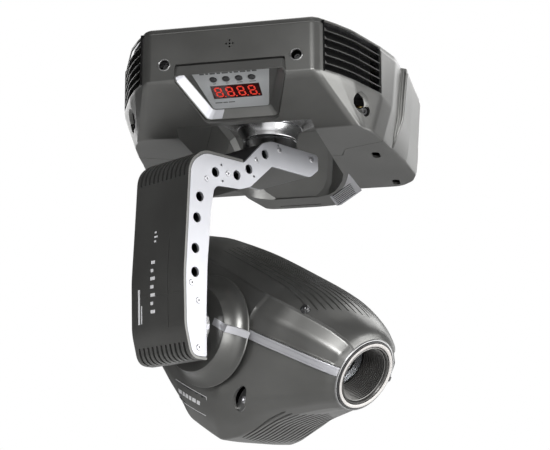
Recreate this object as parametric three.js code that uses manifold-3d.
// Moving head light, hung by the top of its base. Millimetres, +Z up.
// The origin is the centre of the base's mounting face, the pan axis is Z and the control panel faces -Y.
// The arm turns about Z, and the head tilts between the arm's leg and thin air, about a level axis.
// Arm group: +X square to the arm's side plates, -Y towards the leg. Head group: +X along the beam.

import * as THREE from 'three';
import { mergeVertices } from 'three/addons/utils/BufferGeometryUtils.js';
import Module from 'manifold-3d';

const wasm = await Module();
wasm.setup();

// Driving dimensions
const GAP = 0.3;            // clearance between neighbouring pieces
const WALL = 3;             // moulded cover thickness
const RIM_Z = -0.5;         // top edge of the base covers
const WALL_Z = -62;         // foot of the base's upright walls
const FLOOR_Z = -100;       // underside of the base's two blocks
const VALLEY_Z = -42;       // roof of the valley between the blocks
const TONGUE_TOP = -14;     // upper face of the tongue behind the valley
const VALLEY_FRONT = -139;  // valley's front end, under the control pod
const JOINT_Y = -26;        // joint between the front and rear base covers at the side walls
const POD_SLOPE = 23.5;     // degrees, control pod to the horizontal
const ARM_TOP = -89;        // top of the arm's inner segment
const PLATE = 3;            // arm side plate thickness
const PLATE_FRONT = 38.5;   // inner face of the front side plate
const PLATE_REAR = -43.5;   // outer face of the rear side plate
const SKIN = 2.5;           // arm inner skin thickness
const PAN_REST = -32;       // degrees, arm about Z as stored
const TILT_Z = -312;        // height of the tilt axis
const TILT_REST = 31;       // degrees the beam points below the horizontal as stored
const BEAM_Z = 26.5;        // beam axis above the tilt axis, in the head's frame
const SEAM_LOW = 14;        // head's centre frame, lower and upper faces at the tilt axis
const SEAM_HIGH = 24;
const SEAM_RISE = 0.045;    // the centre frame climbs this much per millimetre towards the lens
const LENS_R = 40;          // outside radius of the lens ring

const MATERIALS = {
  shell: { color: 0x4b4a45, roughness: 0.45, metalness: 0.3 },
  silver: { color: 0xd9dce2, roughness: 0.3, metalness: 0.9 },
  steel: { color: 0x9a9da0, roughness: 0.4, metalness: 0.9 },
  black: { color: 0x18181a, roughness: 0.5, metalness: 0.0 },
  label: { color: 0x8d8f8d, roughness: 0.5, metalness: 0.2 },
  led: { color: 0x7a0f0c, roughness: 0.2, metalness: 0.0 },
  glass: { color: 0x9fb0b8, roughness: 0.05, metalness: 0.0 },
  board: { color: 0x1d5a37, roughness: 0.6, metalness: 0.0 },
  rubber: { color: 0x151515, roughness: 0.8, metalness: 0.0 },
  brass: { color: 0xb08d45, roughness: 0.3, metalness: 0.9 },
};

// ---------------------------------------------------------------- solids

function solid(geometry) {
  const plain = geometry.clone();
  plain.deleteAttribute('normal');
  plain.deleteAttribute('uv');
  const merged = mergeVertices(plain, 1e-4);
  const mesh = new wasm.Mesh({
    numProp: 3,
    vertProperties: new Float32Array(merged.attributes.position.array),
    triVerts: new Uint32Array(merged.index.array),
  });
  return new wasm.Manifold(mesh);
}

function shape(manifold) {
  const mesh = manifold.getMesh();
  const geometry = new THREE.BufferGeometry();
  geometry.setAttribute('position', new THREE.BufferAttribute(new Float32Array(mesh.vertProperties), 3));
  geometry.setIndex(new THREE.BufferAttribute(new Uint32Array(mesh.triVerts), 1));
  geometry.computeVertexNormals();
  return geometry;
}

function cut(body, ...tools) {
  return shape(tools.reduce((left, tool) => left.subtract(solid(tool)), solid(body)));
}

function join(body, ...others) {
  return shape(others.reduce((sum, other) => sum.add(solid(other)), solid(body)));
}

function common(body, other) {
  return shape(solid(body).intersect(solid(other)));
}

// A box from its low and high corners.
function block(low, high) {
  const size = high.map((value, i) => value - low[i]);
  const geometry = new THREE.BoxGeometry(...size);
  return geometry.translate(...low.map((value, i) => value + size[i] / 2));
}

// An outline of [a, b] points, pushed out by depth. plane 'xy' runs along Z, 'yz' along X, 'zx' along Y.
function prism(points, from, to, plane = 'xy', holes = []) {
  const outline = new THREE.Shape(points.map(([a, b]) => new THREE.Vector2(a, b)));
  outline.holes = holes.map((hole) => new THREE.Path(hole.map(([a, b]) => new THREE.Vector2(a, b))));
  const geometry = new THREE.ExtrudeGeometry(outline, { depth: to - from, bevelEnabled: false });
  geometry.translate(0, 0, from);
  const axes = {
    xy: [[1, 0, 0], [0, 1, 0], [0, 0, 1]],
    yz: [[0, 1, 0], [0, 0, 1], [1, 0, 0]],
    zx: [[0, 0, 1], [1, 0, 0], [0, 1, 0]],
  }[plane].map((axis) => new THREE.Vector3(...axis));
  return geometry.applyMatrix4(new THREE.Matrix4().makeBasis(...axes));
}

// A turned piece: [radius, height] points about an axis, which closes on itself or on the axis.
function turned(profile, axis = 'z', sides = 28) {
  const geometry = new THREE.LatheGeometry(profile.map(([r, h]) => new THREE.Vector2(r, h)), sides);
  if (axis === 'z') geometry.rotateX(Math.PI / 2);
  if (axis === 'x') geometry.rotateZ(-Math.PI / 2);
  return outwards(geometry);
}

function tube(outer, inner, from, to, axis = 'z', sides = 24) {
  return turned([[inner, from], [outer, from], [outer, to], [inner, to], [inner, from]], axis, sides);
}

function rod(radius, from, to, axis = 'z', sides = 20) {
  return turned([[0, from], [radius, from], [radius, to], [0, to]], axis, sides);
}

// A closed skin over rings of equal length; each end is a fan about its middle.
function loft(rings) {
  const count = rings[0].length;
  const points = rings.flat();
  const middle = (ring) => [0, 1, 2].map((k) => ring.reduce((sum, p) => sum + p[k], 0) / count);
  points.push(middle(rings[0]), middle(rings[rings.length - 1]));
  const faces = [];
  for (let i = 0; i < count; i++) {
    const j = (i + 1) % count;
    faces.push(points.length - 2, j, i);
    for (let k = 0; k < rings.length - 1; k++) {
      const [a, b] = [k * count + i, k * count + j];
      faces.push(a, b, b + count, a, b + count, a + count);
    }
    const last = (rings.length - 1) * count;
    faces.push(points.length - 1, last + i, last + j);
  }
  const geometry = new THREE.BufferGeometry();
  geometry.setAttribute('position', new THREE.Float32BufferAttribute(points.flat(), 3));
  geometry.setIndex(faces);
  return outwards(geometry);
}

// Turns a closed geometry's faces to point outwards.
function outwards(geometry) {
  if (signedVolume(geometry) < 0) geometry.index.array.reverse();
  return geometry;
}

function signedVolume(geometry) {
  const [p, index] = [geometry.attributes.position, geometry.index.array];
  const corner = (i) => new THREE.Vector3().fromBufferAttribute(p, i);
  let sum = 0;
  for (let i = 0; i < index.length; i += 3) {
    sum += corner(index[i]).dot(corner(index[i + 1]).cross(corner(index[i + 2])));
  }
  return sum / 6;
}

// ---------------------------------------------------------------- outlines

// Rounds each corner of a closed outline; a corner is [a, b] or [a, b, radius].
function rounded(corners, radius, steps = 4) {
  const points = [];
  corners.forEach(([a, b, own = radius], i) => {
    const here = new THREE.Vector2(a, b);
    const before = new THREE.Vector2(...corners.at(i - 1)).sub(here);
    const after = new THREE.Vector2(...corners[(i + 1) % corners.length]).sub(here);
    const half = before.angleTo(after) / 2;
    if (own === 0 || half > 1.54) {
      points.push([a, b]);
      return;
    }
    const reach = Math.min(own / Math.tan(half), before.length() * 0.48, after.length() * 0.48);
    const start = here.clone().add(before.setLength(reach));
    const end = here.clone().add(after.setLength(reach));
    for (let k = 0; k <= steps; k++) {
      const t = k / steps;
      points.push([0, 1].map((c) => {
        const [s, m, e] = [start, here, end].map((v) => v.getComponent(c));
        return s * (1 - t) ** 2 + 2 * m * t * (1 - t) + e * t ** 2;
      }));
    }
  });
  return points;
}

// Moves a closed outline, given anticlockwise, inwards by distance.
function inset(points, distance) {
  return points.map((point, i) => {
    const [before, after] = [points.at(i - 1), points[(i + 1) % points.length]];
    const one = new THREE.Vector2(point[0] - before[0], point[1] - before[1]).normalize();
    const two = new THREE.Vector2(after[0] - point[0], after[1] - point[1]).normalize();
    const normal = new THREE.Vector2(-one.y - two.y, one.x + two.x).normalize();
    const along = distance / Math.max(0.5, normal.dot(new THREE.Vector2(-one.y, one.x)));
    return [point[0] + normal.x * along, point[1] + normal.y * along];
  });
}

function circle(radius, x = 0, y = 0, sides = 20) {
  return Array.from({ length: sides }, (_, i) => {
    const angle = (i / sides) * 2 * Math.PI;
    return [x + radius * Math.cos(angle), y + radius * Math.sin(angle)];
  });
}

// Both halves of an outline that is the same left and right, from its right-hand points.
function mirrored(right) {
  return [...right, ...right.map(([x, ...rest]) => [-x, ...rest]).reverse()];
}

// ---------------------------------------------------------------- group and node helpers

const lamp = new THREE.Group();
const arm = new THREE.Group();
const head = new THREE.Group();
arm.rotation.z = THREE.MathUtils.degToRad(PAN_REST);
head.position.z = TILT_Z;
head.rotation.y = THREE.MathUtils.degToRad(TILT_REST);
arm.add(head);
lamp.add(arm);

function node(parent, name, material, geometry) {
  const mesh = new THREE.Mesh(geometry, new THREE.MeshStandardMaterial(MATERIALS[material]));
  mesh.name = name;
  parent.add(mesh);
  return mesh;
}

// ---------------------------------------------------------------- base covers

// Right-hand half of the base in plan, front corner to rear corner: rim, foot of the walls, underside.
const WALL_PLAN = [[90, -203], [97, -198], [113, -177], [127, -155], [150, -101], [162, -64], [165, -28],
  [171, -23], [172, 30], [174, 92], [167, 118], [146, 138]];
const FOOT_PLAN = [[90, -203], [97, -198], [113, -176], [126, -154], [149, -104], [156, -66], [158, -28],
  [164, -23], [165, 30], [169, 92], [163, 118], [145, 138]];
const FLOOR_PLAN = [[119, -126], [127, -123], [129, -116], [131, -110], [137, -98], [144, -62], [149, -28],
  [150, -23], [158, 32], [164, 90], [158, 114], [143, 134]];
const TONGUE_PLAN = [[96, 100], [91, 140], [54, 206], [44, 214], [22, 217], [-24, 217], [-44, 215], [-52, 209],
  [-64, 150], [-66, 100]];

function baseBody(thickness, top) {
  const level = (plan, z) => inset(mirrored(plan), thickness).map(([x, y]) => [x, y, z]);
  const bottom = FLOOR_Z + thickness;
  const foot = WALL_Z + thickness / 2;
  const blocks = loft([level(WALL_PLAN, top), level(FOOT_PLAN, foot), level(FLOOR_PLAN, bottom)]);
  const tongue = inset(TONGUE_PLAN, thickness);
  return join(blocks, prism(tongue, bottom, TONGUE_TOP - thickness));
}

// The valley under the base: level over the turret, then a ramp down to the tongue's rim.
function valley(margin) {
  const section = (y, floorHalf, roofHalf, roof) => [
    [-floorHalf - margin, y, -112], [floorHalf + margin, y, -112],
    [roofHalf + margin, y, roof + margin], [-roofHalf - margin, y, roof + margin],
  ];
  return join(
    loft([section(VALLEY_FRONT - margin, 80, 63, VALLEY_Z), section(62, 82, 63, VALLEY_Z)]),
    loft([section(60, 82, 63, VALLEY_Z), section(106, 71, 56, -66), section(140, 58, 44, -86),
      section(162 + margin, 36, 26, -97)]),
  );
}

// The control pod's own frame: x across, y down its face towards the turret, z out of its face.
function onPod(geometry) {
  const tilt = THREE.MathUtils.degToRad(POD_SLOPE);
  const [across, down] = [new THREE.Vector3(-1, 0, 0), new THREE.Vector3(0, Math.cos(tilt), -Math.sin(tilt))];
  const placed = new THREE.Matrix4().makeBasis(across, down, across.clone().cross(down));
  return geometry.applyMatrix4(placed.setPosition(0, -207, -50));
}

const POD_LENGTH = 75;
const podPlan = (grow) => [[60 + grow, -grow], [60 + grow, 10], [40 + grow, POD_LENGTH + grow],
  [-40 - grow, POD_LENGTH + grow], [-60 - grow, 10], [-60 - grow, -grow]];

function addBaseCovers() {
  const shell = cut(baseBody(0, RIM_Z), cut(baseBody(WALL, 10), valley(WALL)), valley(0));
  const pocket = onPod(prism(podPlan(0.4), -8, 60));
  const turretHole = rod(52, VALLEY_Z - 5, VALLEY_Z + 8);
  const opened = cut(shell, pocket, turretHole);
  const louvres = [1, -1].map((side) => grilleSpace(side));
  node(lamp, 'base_front_cover', 'shell', cut(common(opened, frontRegion(GAP)), ...louvres));
  const panels = [1, -1].map((side) => panelSpace(side, 0));
  node(lamp, 'base_rear_cover', 'shell', cut(opened, frontRegion(-GAP), ...panels));
}

// The front cover's share of the base in plan; the joint steps round the turret and the valley's walls.
function frontRegion(gap) {
  const right = [[200, -230], [200, JOINT_Y - gap], [150, JOINT_Y - gap], [144, -62 - gap], [97, -42 - gap],
    [91 - gap, -19 - gap], [60, -19 - gap]];
  return prism(mirrored(right), -120, 20);
}

// The opening for the side louvres: its start and end along the side wall, and its height.
const GRILLE = { start: 6, end: 110, low: -57, top: -5 };

function alongSide(geometry, side) {
  const [[x0, y0], [x1, y1]] = [WALL_PLAN[1], WALL_PLAN[4]];
  const run = new THREE.Vector3(x1 - x0, y1 - y0, 0).normalize();
  const [inwards, up] = [new THREE.Vector3(-run.y, run.x, 0), new THREE.Vector3(0, 0, 1)];
  geometry.applyMatrix4(new THREE.Matrix4().makeBasis(run, inwards, up).setPosition(x0, y0, 0));
  if (side < 0) {
    geometry.scale(-1, 1, 1);
    geometry.index?.array.reverse();
  }
  return geometry;
}

function grilleSpace(side) {
  return alongSide(mergedBox([GRILLE.start, -12, GRILLE.low], [GRILLE.end, 12, GRILLE.top]), side);
}

function mergedBox(low, high) {
  const geometry = block(low, high);
  geometry.deleteAttribute('normal');
  geometry.deleteAttribute('uv');
  return mergeVertices(geometry);
}

// One piece: a thin frame in the opening with five slats tilted like roof tiles.
function addGrille(name, side) {
  const [x0, x1] = [GRILLE.start + GAP, GRILLE.end - GAP];
  const [z0, z1] = [GRILLE.low + GAP, GRILLE.top - GAP];
  const frame = cut(block([x0, 1, z0], [x1, 7, z1]), block([x0 + 3, -5, z0 + 3], [x1 - 3, 12, z1 - 3]));
  const slats = Array.from({ length: 5 }, (_, i) => {
    const z = z1 - 7.5 - i * 9.6;
    return prism([[-0.6, z], [0.6, z - 1.6], [6.4, z + 1.8], [6.4, z + 3.6]], x0 + 1, x1 - 1, 'yz');
  });
  const grille = join(frame, ...slats);
  node(lamp, name, 'black', alongSide(grille, side));
}

// ---------------------------------------------------------------- base chassis and what it carries

function addChassis() {
  const plan = inset(mirrored(FOOT_PLAN), WALL + 1.2);
  const sockets = [[-70, -90], [70, -90], [-70, 90], [70, 90]].map(([x, y]) => circle(5, x, y, 16));
  node(lamp, 'chassis_plate', 'steel', prism(plan, -3, 0, 'xy', sockets));
}

function addElectronics() {
  const supply = join(block([-141, -52, -88], [-89, 78, -8]), block([-139, -48, -8.1], [-124, -30, -6]),
    block([-118, 60, -8.1], [-96, 74, -6]));
  node(lamp, 'power_supply', 'steel', supply);
  const chips = [[-44, 62, 14, 8], [-18, 64, 18, 12], [14, 60, 10, 9], [36, 66, 12, 14]];
  const parts = chips.map(([x, y, w, d]) => block([x, y, -16], [x + w, y + d, -9.9]));
  const board = join(block([-58, 52, -12], [58, 118, -10.2]), ...parts);
  node(lamp, 'main_board', 'board', board);
}

function addBaseFan() {
  const body = block([74, -126, -66], [128, -111, -12]);
  const throat = rod(24.5, -130, -100, 'y').translate(101, 0, -39);
  const motorRest = join(rod(9, -113, -111, 'y').translate(101, 0, -39),
    block([75, -113, -40.5], [127, -111, -37.5]));
  node(lamp, 'base_fan_frame', 'black', join(cut(body, throat), motorRest));
  const rotor = fanRotor(23.5, 9, 10).rotateX(-Math.PI / 2).translate(101, -124, -39);
  node(lamp, 'base_fan_rotor', 'black', rotor);
}

// A fan rotor about Z: a hub and seven pitched blades.
function fanRotor(radius, hubRadius, height) {
  const blade = loft([[hubRadius - 1, 0.12, 0.1], [radius, 0.3, 0.1]].map(([r, pitch]) => {
    const spread = pitch + 0.12;
    return [[-spread, 1.2], [-spread, 0.2], [spread, height - 1.2], [spread, height - 0.2]].map(
      ([angle, z]) => [r * Math.cos(angle), r * Math.sin(angle), z]);
  }));
  const blades = Array.from({ length: 7 }, (_, i) => blade.clone().rotateZ((i / 7) * 2 * Math.PI));
  return join(rod(hubRadius, 0, height, 'z', 24), ...blades);
}

const PAN_MOTOR = [108, 14];
const PAN_PULLEY_R = 44;
const PAN_PINION_R = 9;

// A flat belt round two pulleys whose axes stand along Z.
function belt([x, y], bigRadius, smallRadius, from, to) {
  const [distance, angle] = [Math.hypot(x, y), Math.atan2(y, x)];
  const lean = Math.acos((bigRadius - smallRadius) / distance);
  const loop = (grow) => [
    ...arcPoints(0, 0, bigRadius + grow, lean, 2 * Math.PI - lean, 18),
    ...arcPoints(distance, 0, smallRadius + grow, -lean, lean, 8),
  ];
  return prism(loop(1.8), from, to, 'xy', [loop(GAP)]).rotateZ(angle);
}

function arcPoints(x, y, radius, from, to, steps) {
  return Array.from({ length: steps + 1 }, (_, i) => {
    const angle = from + ((to - from) * i) / steps;
    return [x + radius * Math.cos(angle), y + radius * Math.sin(angle)];
  });
}

function addPanDrive() {
  const [x, y] = PAN_MOTOR;
  const motor = join(prism(rounded([[-21, -21], [21, -21], [21, 21], [-21, 21]], 4, 2), -86, -40),
    rod(11, -40.1, -38));
  node(lamp, 'pan_motor', 'black', cut(motor, rod(3.2, -60, -30, 'z', 16)).translate(x, y, 0));
  const pinion = [[0, -56], [3, -56], [3, -36], [11, -36], [11, -34.2], [PAN_PINION_R, -34.2],
    [PAN_PINION_R, -23.8], [11, -23.8], [11, -22.5], [0, -22.5]];
  node(lamp, 'pan_motor_pulley', 'brass', turned(pinion, 'z', 18).translate(x, y, 0));
  node(lamp, 'pan_belt', 'rubber', belt(PAN_MOTOR, PAN_PULLEY_R, PAN_PINION_R, -33.5, -24.5));
  const race = tube(40, 24.4, -38.2, -35.4);
  const seat = tube(60, 34.5, -38.6, -36.2);
  node(lamp, 'pan_bearing', 'steel', join(race, seat));
}

// ---------------------------------------------------------------- turret and control pod

function addTurretShroud() {
  const curve = new THREE.QuadraticBezierCurve(
    new THREE.Vector2(62, VALLEY_Z - 1.4), new THREE.Vector2(41, VALLEY_Z - 2), new THREE.Vector2(35.5, -58));
  const outside = curve.getPoints(4).map((p) => [p.x, p.y]);
  const inside = [[34, -58], [34.2, -52], [37, -46], [44, VALLEY_Z - GAP]];
  const profile = [...outside, ...inside, [62, VALLEY_Z - GAP], outside[0]];
  node(lamp, 'turret_shroud', 'black', turned(profile, 'z', 32));
}

const BUTTON_X = [-21, -7, 7, 21];
const BUTTON_Y = 19;

function addControlPod() {
  const tray = prism(podPlan(0), -4, 8.5);
  const hollow = prism([[55, -2], [55, 9.6], [35.6, POD_LENGTH - 5], [-35.6, POD_LENGTH - 5], [-55, 9.6],
    [-55, -2]], 0, 12);
  const ledHole = block([-27.5, 28, -6], [27.5, 50, 6]);
  const buttonHoles = BUTTON_X.map((x) => rod(3.9, -6, 6, 'z', 14).translate(x, BUTTON_Y, 0));
  node(lamp, 'display_bezel', 'shell', onPod(cut(tray, hollow, ledHole, ...buttonHoles)));
  const plan = [[43, 5], [31, POD_LENGTH - 10], [-31, POD_LENGTH - 10], [-43, 5]];
  const holes = BUTTON_X.map((x) => circle(3.9, x, BUTTON_Y, 14));
  const window = [[-27.5, 28], [27.5, 28], [27.5, 50], [-27.5, 50]];
  const panel = prism(rounded(plan, 4, 3), GAP, 1.3, 'xy', [window, ...holes]);
  node(lamp, 'display_panel', 'label', onPod(panel));
  node(lamp, 'led_display', 'led', onPod(block([-26.5, 29, -5.6], [26.5, 49, 0.9])));
  const board = block([-38, 8, -9.4], [38, 58, -7.8]);
  const relay = block([-30, 34, -14], [-8, 46, -9.3]);
  node(lamp, 'display_board', 'board', onPod(join(board, relay)));
  const cap = [[0, -4.6], [5, -4.6], [5, -4.1], [3.5, -4.1], [3.5, 1.9], [2.9, 2.5], [0, 2.5]];
  for (const [i, x] of BUTTON_X.entries()) {
    const button = turned(cap, 'z', 14);
    node(lamp, `menu_button_${i + 1}`, 'black', onPod(cut(button).translate(x, BUTTON_Y, 0)));
  }
}

// ---------------------------------------------------------------- connector panels on the base's rear faces

const PANEL = { x0: 82, x1: 132, z0: -84, z1: -18 };

function panelSpace(side, shrink) {
  const [x0, x1] = side > 0 ? [PANEL.x0, PANEL.x1] : [-PANEL.x1, -PANEL.x0];
  const { z0, z1 } = PANEL;
  return block([x0 + shrink, 128 - shrink, z0 + shrink], [x1 - shrink, 142 + shrink, z1 - shrink]);
}

function addConnectorPanels() {
  const sheet = (side) => common(panelSpace(side, GAP), block([-200, 132.2, -120], [200, 134.2, 0]));
  const inletHole = block([92, 130, -49], [122, 140, -27]);
  const switchHole = block([88, 130, -79], [104, 140, -57]);
  const fuseHole = rod(7.3, 130, 140, 'y', 24).translate(118, 0, -68);
  const inletBody = block([92.4, 112, -48.6], [121.6, 137, -27.4]);
  const socket = block([95.4, 118, -45.6], [118.6, 140, -30.4]);
  const pins = [[101, -40], [106, -37], [111, -40]].map(([x, z]) => block([x, 116, z], [x + 2, 134, z + 4]));
  node(lamp, 'power_inlet', 'black', join(cut(inletBody, socket), ...pins));
  const holder = join(rod(7, 116, 134.6, 'y', 24), rod(9, 134.5, 138, 'y', 24));
  node(lamp, 'fuse_holder', 'black', holder.translate(118, 0, -68));
  const well = block([90.4, 122, -76.6], [101.6, 140, -59.4]);
  const housing = cut(block([88.4, 118, -78.6], [103.6, 136, -57.4]), well);
  const sill = cut(block([86.5, 134, -80.5], [105.5, 136, -55.5]), well);
  const panel = cut(sheet(1), inletHole, switchHole, fuseHole);
  node(lamp, 'power_panel', 'steel', join(panel, housing, sill));
  const rocker = [[124, -73], [134, -74.6], [137, -74.6], [135.2, -68], [133, -61.2], [131, -61.2],
    [124, -63]];
  node(lamp, 'power_switch', 'black', prism(rocker, 91, 101, 'yz'));
  const holes = [-34, -68].map((z) => rod(12.3, 130, 140, 'y', 20).translate(-107, 0, z));
  node(lamp, 'data_panel', 'steel', cut(sheet(-1), ...holes));
  for (const [name, z] of [['data_in', -34], ['data_out', -68]]) {
    const body = join(rod(12, 116, 134.6, 'y', 20), block([-13, 134.5, -15.5], [13, 136.5, 15.5]));
    const pocket = rod(9.5, 122, 140, 'y', 16);
    const contacts = circle(4.6, 0, 0, 3).map(([x, h]) => rod(1.3, 120, 134, 'y', 6).translate(x, 0, h));
    node(lamp, name, 'steel', join(cut(body, pocket), ...contacts).translate(-107, 0, z));
  }
}

// ---------------------------------------------------------------- arm

// The arm's zigzag profile as [reach from the pan axis, height]: inner end, underside, leg, outer side, top.
const ARM_PROFILE = [
  [-40, ARM_TOP, 6], [-40, -108, 5], [-26, -119, 12], [39, -119, 5], [74, -150, 14], [90, -156, 14],
  [130, -159, 10], [135, -186, 12], [140, -250, 200], [141, -300, 120], [140, -349, 3],
  [160, -349, 12], [169, -318, 60], [171, -262, 160], [168, -205, 120], [165, -140, 34],
  [146, -125, 26], [85, -124, 6], [54, ARM_TOP - 5, 12], [40, ARM_TOP, 10],
];
const armOutline = rounded(ARM_PROFILE.map(([reach, z, r]) => [-reach, z, r]), 8, 2).reverse();

// Holes through the side plates as [reach, height].
const BIG_HOLES = [[129, -144], [96, -141], [77, -130], [51, -107], [152, -176], [156, -200], [158, -234],
  [158, -260]];
const SMALL_HOLES = [[110, -141], [142, -154], [64, -118], [27, -97], [-28, -97], [163, -272], [153, -290],
  [152, -340]];

function addArmPlates() {
  const holes = [
    ...BIG_HOLES.map(([reach, z]) => circle(5.6, -reach, z, 10)),
    ...SMALL_HOLES.map(([reach, z]) => circle(2.2, -reach, z, 6)),
  ];
  const plate = (from) => prism(armOutline, from, from + PLATE, 'yz', holes);
  node(arm, 'arm_front_plate', 'silver', plate(PLATE_FRONT));
  node(arm, 'arm_rear_plate', 'silver', plate(PLATE_REAR));
}

// A band that follows the arm's outline anticlockwise from one of its points to another.
function armBand(from, to, outer, inner, low, high) {
  const [outside, inside] = [inset(armOutline, outer), inset(armOutline, inner)];
  const count = armOutline.length;
  const steps = ((to - from + count) % count) + 1;
  const order = Array.from({ length: steps }, (_, i) => (from + i) % count);
  return prism([...order.map((i) => outside[i]), ...order.map((i) => inside[i]).reverse()], low, high, 'yz');
}

function nearestPoint(reach, z) {
  const away = armOutline.map(([y, height]) => Math.hypot(y + reach, height - z));
  return away.indexOf(Math.min(...away));
}

function addArmCovers() {
  const dip = nearestPoint(85, -124);
  const foot = nearestPoint(140, -349);
  const outer = armBand(dip + 1, foot - 1, -3.4, -0.4, PLATE_REAR, PLATE_FRONT + PLATE);
  const slots = Array.from({ length: 9 }, (_, i) => -34.5 + i * 8.4).flatMap((n) => [
    block([n - 1.6, -176, -152], [n + 1.6, -134, -115]),
    block([n - 1.6, -180, -360], [n + 1.6, -150, -336]),
  ]);
  node(arm, 'arm_outer_cover', 'shell', cut(outer, ...slots));
  const [low, high] = [PLATE_REAR + PLATE + GAP, PLATE_FRONT - GAP];
  const skin = armBand(foot + 1, dip - 1, 0.2, 0.2 + SKIN, low, high);
  const turretOpening = rod(26, ARM_TOP - 8, ARM_TOP + 4);
  const shaftOpening = rod(24.5, -150, -130, 'y').translate(0, 0, TILT_Z);
  node(arm, 'arm_inner_cover', 'shell', cut(skin, turretOpening, shaftOpening));
}

function addPanShaft() {
  const collar = [[24.5, -88.6], [33, -88.6], [33, -60.5], [31.8, -58.8], [24.5, -58.8], [24.5, -88.6]];
  node(arm, 'turret_collar', 'silver', turned(collar, 'z', 36));
  const stem = tube(24, 18, ARM_TOP - 7, -20);
  const wheel = tube(PAN_PULLEY_R, 20, -33.8, -24.2, 'z', 36);
  const flange = tube(PAN_PULLEY_R + 3, 20, -24.3, -22.6, 'z', 36);
  node(arm, 'pan_pulley', 'brass', join(stem, wheel, flange));
}

const TILT_MOTOR_Z = -214;
const TILT_PULLEY_R = 29;
const TILT_PINION_R = 8;

function addTiltDrive() {
  const body = block([-21, -154, TILT_MOTOR_Z - 21], [21, -144.4, TILT_MOTOR_Z + 21]);
  const bore = rod(3, -160, -148, 'y', 12).translate(0, 0, TILT_MOTOR_Z);
  node(arm, 'tilt_motor', 'black', cut(body, bore));
  const pinion = join(rod(2.7, -162, -149, 'y', 12), rod(TILT_PINION_R, -161.2, -155.6, 'y', 20));
  node(arm, 'tilt_motor_pulley', 'brass', pinion.translate(0, 0, TILT_MOTOR_Z));
  const loop = belt([TILT_MOTOR_Z - TILT_Z, 0], TILT_PULLEY_R, TILT_PINION_R, -161, -155.8);
  const upright = new THREE.Matrix4().makeBasis(
    new THREE.Vector3(0, 0, 1), new THREE.Vector3(1, 0, 0), new THREE.Vector3(0, 1, 0));
  node(arm, 'tilt_belt', 'rubber', loop.applyMatrix4(upright).translate(0, 0, TILT_Z));
  const bearing = join(tube(24, 18.4, -141, -128.6, 'y'), tube(33, 18.4, -135.6, -128.6, 'y'));
  node(arm, 'tilt_bearing', 'silver', bearing.translate(0, 0, TILT_Z));
}

// ---------------------------------------------------------------- head covers

// Along the beam: [x, half width, height of the crown, half width of the crown's edge, height of that edge].
const UPPER = [
  [-168, 40, 48, 24, 42], [-163, 58, 58, 40, 50], [-154, 72, 69, 58, 55], [-145, 84, 73, 72, 53],
  [-134, 93, 77, 80, 57], [-110, 96, 82, 84, 63], [-60, 96, 88, 85, 67], [0, 96, 91, 85, 68],
  [44, 95, 92.5, 84, 68], [68, 88, 92.5, 77, 68], [92, 76, 90.5, 66, 67], [118, 63, 85.5, 53, 65],
  [136, 52.5, 79, 43, 61], [144, 46.5, 73.5, 37, 57.5], [147, 41.5, 69.5, 33, 54.5],
];
// Along the beam: [x, half width, depth of the keel, half width of the keel, depth of the side's foot].
const LOWER = [
  [-168, 40, -40, 24, -26], [-163, 58, -48, 38, -34], [-154, 72, -52, 50, -36], [-145, 84, -54, 60, -38],
  [-134, 93, -60, 66, -44], [-110, 96, -68, 72, -50], [-62, 96, -86, 72, -54], [-36, 96, -99, 67, -58],
  [-8, 96, -112, 63, -61], [36, 93, -113, 57, -60], [52, 89, -103, 52, -56], [66, 83, -88, 47, -50],
  [84, 75, -66, 38, -38], [110, 61, -42, 29, -22], [130, 51, -26, 21, -8], [140, 46, -19, 15, -1],
  [147, 41.5, -15, 11, 4],
];

function upperRing([x, half, crown, edgeHalf, edge], thickness) {
  const [h, e] = [half - thickness, edgeHalf - thickness];
  const [top, side] = [crown - thickness, edge - thickness];
  const foot = SEAM_HIGH + SEAM_RISE * x + GAP - (thickness > 0 ? 2 : 0);
  const right = [[h, foot], [h - 1, (foot + side) / 2], [e, side], [e * 0.72, side + (top - side) * 0.52],
    [e * 0.38, side + (top - side) * 0.87], [0, top]];
  return mirroredRing(x, right);
}

function lowerRing([x, half, keel, keelHalf, foot], thickness) {
  const [h, k] = [half - thickness, keelHalf - thickness];
  const [bottom, side] = [keel + thickness, foot + thickness];
  const top = SEAM_LOW + SEAM_RISE * x - GAP + (thickness > 0 ? 2 : 0);
  const haunch = (side + bottom * 1.4) / 2.4;
  const right = [[h, top], [h - 1, (top + side) / 2], [h - 5, side], [(h + k) / 2, haunch], [k, bottom + 1.5],
    [k * 0.5, bottom]];
  return mirroredRing(x, right);
}

function mirroredRing(x, right) {
  const whole = [...right, ...right.filter(([y]) => y !== 0).map(([y, z]) => [-y, z]).reverse()];
  return whole.map(([y, z]) => [x, y, z]);
}

function headShell(stations, ring) {
  const outside = loft(stations.map((station) => ring(station, 0)));
  const inner = stations.map(([x, ...rest]) => [x, ...rest]);
  inner[0][0] += WALL;
  inner.at(-1)[0] -= WALL;
  return [outside, loft(inner.map((station) => ring(station, WALL)))];
}

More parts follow.
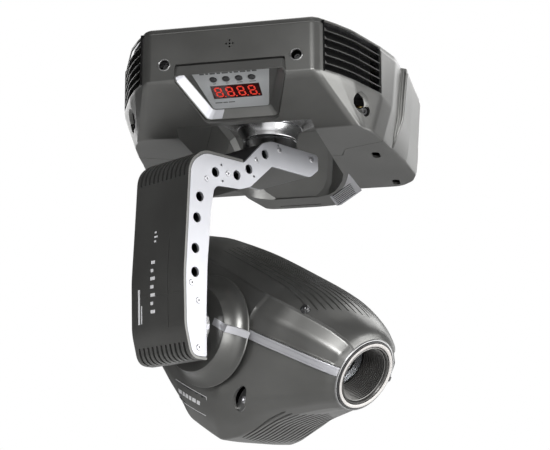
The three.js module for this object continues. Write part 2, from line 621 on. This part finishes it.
function addHeadCovers() {
  const lensBore = join(rod(LENS_R - 3, 100, 170, 'x', 32), rod(LENS_R + GAP, 138.6, 170, 'x', 32))
    .translate(0, 0, BEAM_Z);
  const hubBore = rod(46.5, -120, -80, 'y', 32);
  const [top, topInside] = headShell(UPPER, upperRing);
  node(head, 'head_upper_cover', 'shell', cut(top, topInside, lensBore, hubBore));
  const [low, lowInside] = headShell(LOWER, lowerRing);
  node(head, 'head_lower_cover', 'shell', cut(low, lowInside, lensBore, hubBore));
  const plan = UPPER.map(([x, half]) => [x, half + 0.8]);
  const edge = [...plan.map(([x, y]) => [x, -y]), ...plan.reverse()];
  const hollowPlan = [[-152, 50], [-134, 76], [-110, 80], [44, 79], [72, 70], [118, 47], [160, 26]];
  const hollow = [...hollowPlan.map(([x, y]) => [x, -y]), ...hollowPlan.reverse()];
  const climb = new THREE.Matrix4().set(1, 0, 0, 0, 0, 1, 0, 0, SEAM_RISE, 0, 1, 0, 0, 0, 0, 1);
  const level = cut(prism(edge, SEAM_LOW, SEAM_HIGH), prism(hollow, SEAM_LOW - 5, SEAM_HIGH + 5));
  const frame = level.applyMatrix4(climb);
  const hubSeat = rod(46.5, -120, -87.4, 'y', 32);
  node(head, 'head_frame', 'silver', cut(frame, lensBore, hubSeat));
}

// ---------------------------------------------------------------- hub, tilt shaft and lens

function addTiltHub() {
  const profile = [[46, -90], [46, -97.2], [62, -97.2], [57, -106], [51, -118], [47, -121], [22, -121],
    [22, -112], [42, -104], [42, -90], [46, -90]];
  node(head, 'tilt_hub', 'shell', turned(profile, 'y', 36));
  const cap = [[0, 97.2], [62, 97.2], [57, 103], [38, 106], [0, 107]];
  node(head, 'far_side_cap', 'shell', turned(cap, 'y', 36));
  const shaft = tube(18, 12, -162.4, -92, 'y');
  const flange = tube(40, 12, -94, -88, 'y');
  const wheel = tube(TILT_PULLEY_R, 12, -161.2, -155.6, 'y', 28);
  node(head, 'tilt_shaft', 'steel', join(shaft, flange, wheel));
}

function addLens() {
  const ring = [[34, 132], [36.4, 132], [36.4, 139], [LENS_R, 141], [LENS_R, 149], [38.6, 151], [34, 151],
    [34, 132]];
  node(head, 'lens_ring', 'silver', turned(ring, 'x', 24).translate(0, 0, BEAM_Z));
  const steps = [];
  for (let x = 147; x > 126; x -= 9) {
    const narrowing = (147 - x) * 0.06;
    steps.push([30.4 - narrowing, x], [29 - narrowing, x - 3]);
  }
  const barrel = [[32.8, 66], [33.6, 66], [33.6, 148], [32.6, 149.5], [31, 149.5], ...steps, [27.4, 66],
    [32.8, 66]];
  node(head, 'lens_barrel', 'black', turned(barrel, 'x', 24).translate(0, 0, BEAM_Z));
  const bulge = (radius, back, front, depth) => [
    [0, back - depth * 0.4], [radius * 0.6, back - depth * 0.25], [radius, back], [radius, front],
    [radius * 0.72, front + depth * 0.5], [radius * 0.4, front + depth * 0.85], [0, front + depth]];
  node(head, 'front_lens', 'glass', turned(bulge(26, 112, 115, 5), 'x', 24).translate(0, 0, BEAM_Z));
  node(head, 'focus_lens', 'glass', turned(bulge(27, 86, 90, 4), 'x', 24).translate(0, 0, BEAM_Z));
}

// ---------------------------------------------------------------- lamp, wheels and fan in the head

const WHEEL_Z = BEAM_Z - 30;

function addLightEngine() {
  const dish = [[12, -104], [20, -98], [30, -84], [36, -66], [37.5, -56], [35.5, -56], [34, -66], [28, -82],
    [18.6, -96], [12, -101.5], [12, -104]];
  node(head, 'reflector', 'silver', turned(dish, 'x', 20).translate(0, 0, BEAM_Z));
  const bulb = [[0, -108], [5, -108], [5, -96], [3, -94], [3, -88], [7, -82], [7.5, -78], [7, -74], [3, -68],
    [2, -62], [0, -62]];
  node(head, 'discharge_lamp', 'glass', turned(bulb, 'x', 14).translate(0, 0, BEAM_Z));
  const socket = cut(block([-132, -24, BEAM_Z - 24], [-106, 24, BEAM_Z + 24]),
    rod(5.4, -112, -100, 'x', 24).translate(0, 0, BEAM_Z));
  node(head, 'lamp_holder', 'steel', socket);
  node(head, 'heat_filter', 'glass', rod(30, -46, -44, 'x', 24).translate(0, 0, BEAM_Z));
  const plate = block([-36, -68, -62], [-33, 68, 58]);
  const opening = rod(27, -40, -30, 'x').translate(0, 0, BEAM_Z);
  const feet = [-68, 56].map((y) => block([-36, y, -62], [-16, y + 12, -59]));
  const motor = (from, to) => rod(17, from, to, 'x').translate(0, 0, WHEEL_Z);
  const motors = [motor(-34, 2.4), motor(17.2, 42)];
  const stay = block([-34, -17, WHEEL_Z - 56], [42, 17, WHEEL_Z - 50]);
  const post = block([19, -12, WHEEL_Z - 51], [40, 12, WHEEL_Z - 10]);
  node(head, 'module_plate', 'steel', join(cut(plate, opening), ...feet, ...motors, stay, post));
}

function filterWheel(x, radius) {
  const holes = Array.from({ length: 8 }, (_, i) => {
    const angle = Math.PI / 2 + (i * Math.PI) / 4;
    return circle(radius, 30 * Math.cos(angle), 30 * Math.sin(angle), 10);
  });
  const disc = prism(circle(43, 0, 0, 28), x, x + 1.6, 'yz', holes);
  return join(disc, rod(6, x - 1, x + 2.4, 'x', 20));
}

function addWheels() {
  node(head, 'colour_wheel', 'glass', filterWheel(4, 10).translate(0, 0, WHEEL_Z));
  node(head, 'gobo_wheel', 'steel', filterWheel(14, 8.5).translate(0, 0, WHEEL_Z));
  for (const [name, side, x] of [['shutter_blade_left', -1, -42.5], ['shutter_blade_right', 1, -40]]) {
    const stalk = block([x, -4, -16], [x + 1, 4, 0]);
    const blade = prism([[-27, -47], [27, -47], [27, -12], [-27, -12]], x, x + 1, 'yz');
    const flag = join(stalk, blade, rod(4, x - 0.3, x + 1.3, 'x', 16));
    node(head, name, 'steel', flag.translate(0, side * -46, BEAM_Z));
  }
}

function addHeadFan() {
  const frame = cut(block([-149, -28, -20], [-135, 28, 36]), rod(25.5, -170, -130, 'x').translate(0, 0, 8));
  const stay = join(rod(9, -137, -135, 'x').translate(0, 0, 8), block([-137, -27, 6.5], [-135, 27, 9.5]));
  node(head, 'head_fan_frame', 'black', join(frame, stay));
  const rotor = fanRotor(24.5, 9, 10).rotateY(Math.PI / 2).translate(-148, 0, 8);
  node(head, 'head_fan_rotor', 'black', rotor);
}

// ---------------------------------------------------------------- assembly

addBaseCovers();
addGrille('side_grille_right', 1);
addGrille('side_grille_left', -1);
addChassis();
addElectronics();
addBaseFan();
addPanDrive();
addTurretShroud();
addControlPod();
addConnectorPanels();
addArmPlates();
addArmCovers();
addPanShaft();
addTiltDrive();
addHeadCovers();
addTiltHub();
addLens();
addLightEngine();
addWheels();
addHeadFan();

export default lamp;
